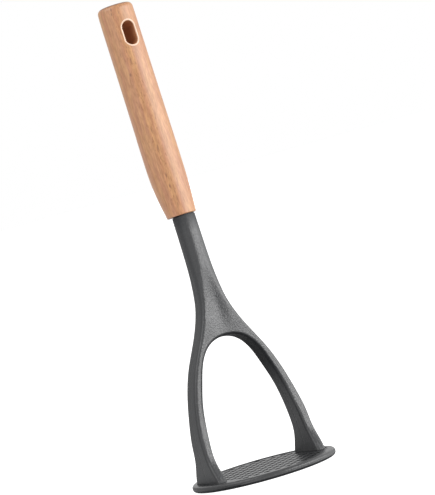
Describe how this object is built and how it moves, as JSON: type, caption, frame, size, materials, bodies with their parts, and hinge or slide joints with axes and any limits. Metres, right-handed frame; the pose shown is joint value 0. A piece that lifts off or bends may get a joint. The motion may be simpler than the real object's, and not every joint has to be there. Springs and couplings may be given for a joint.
{
  "type": "potato masher",
  "caption": "Potato masher with a round perforated plate, a forked nylon yoke and a turned wooden handle with a hanging slot.",
  "frame": {"origin": "centre of the plate's flat underside", "axes": "+Z square to the plate, up towards the handle; +X along the line through the two feet of the yoke; -Y is the front, and the stem leans back towards +Y by 4.7 degrees"},
  "size_m": [0.093, 0.093, 0.3087],
  "materials": {
    "beech": "smooth, lightly oiled",
    "nylon": "fine matte texture",
    "adhesive": "cured, clear amber"
  },
  "bodies": {
    "root": {"handle": "beech", "masher_head": "nylon", "tang_adhesive": "adhesive"}
  },
  "joints": []
}
